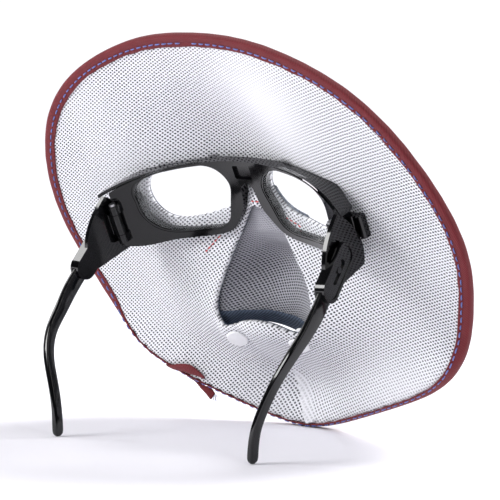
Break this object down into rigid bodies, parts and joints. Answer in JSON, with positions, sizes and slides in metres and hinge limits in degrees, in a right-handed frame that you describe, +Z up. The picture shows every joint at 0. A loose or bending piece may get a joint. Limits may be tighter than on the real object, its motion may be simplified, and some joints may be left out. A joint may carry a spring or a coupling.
{
  "type": "beekeeping veil mask on glasses",
  "caption": "Stiff oval fabric face mask with bound edge, eye holes and a bulging nose pocket, carried by black fit-over glasses with folding, sliding temple arms.",
  "frame": {"origin": "bottom centre of the bounding box as the part stands on its chin edge and its two temple tips", "axes": "+X to the wearer's right as seen from behind, +Y forward (away from the wearer's face), +Z up; the mask leans back by 24.4 degrees"},
  "size_m": [0.2624, 0.1173, 0.1955],
  "materials": {
    "mesh": "matte spacer mesh",
    "denim": "matte twill",
    "binding": "matte woven tape",
    "blue_thread": "matte thread",
    "red_thread": "matte thread",
    "snap_plastic": "satin",
    "black_plastic": "glossy",
    "lens": "clear polycarbonate",
    "pin_steel": "satin"
  },
  "bodies": {
    "mask_and_front": {"glasses_frame": "black_plastic", "lens_left": "lens", "lens_right": "lens", "hinge_pin_left": "pin_steel", "hinge_pin_right": "pin_steel", "mask_mesh_lining": "mesh", "mask_outer_shell": "denim", "edge_binding": "binding", "binding_stitches": "blue_thread", "binding_tail_inner": "binding", "binding_tail_outer": "binding", "chin_dart_overlap": "mesh", "nose_pocket_lining": "mesh", "nose_pocket_shell": "denim", "nose_pocket_hem": "denim", "seam_stitches": "red_thread", "snap_cap_left": "snap_plastic", "snap_cap_right": "snap_plastic", "snap_socket_left": "snap_plastic", "snap_socket_right": "snap_plastic"},
    "right_temple": {"side_shield_right": "black_plastic"},
    "left_temple": {"side_shield_left": "black_plastic"},
    "right_arm": {"temple_arm_right": "black_plastic", "length_stud_right": "black_plastic"},
    "left_arm": {"temple_arm_left": "black_plastic", "length_stud_left": "black_plastic"}
  },
  "joints": [
    {"name": "right_temple_fold", "type": "hinge", "parent": "mask_and_front", "child": "right_temple", "pos_m": [0.0716, -0.00693, 0.09875], "axis": [0, 0.4131, -0.9107], "range_deg": [0, 74]},
    {"name": "right_arm_slide", "type": "slide", "parent": "right_temple", "child": "right_arm", "axis": [0.077, -0.6071, -0.7909], "range_m": [-0.004, 0.006]},
    {"name": "left_temple_fold", "type": "hinge", "parent": "mask_and_front", "child": "left_temple", "pos_m": [-0.0716, -0.00693, 0.09875], "axis": [0, -0.4131, 0.9107], "range_deg": [0, 82]},
    {"name": "left_arm_slide", "type": "slide", "parent": "left_temple", "child": "left_arm", "axis": [-0.077, -0.6071, -0.7909], "range_m": [-0.004, 0.006]}
  ]
}
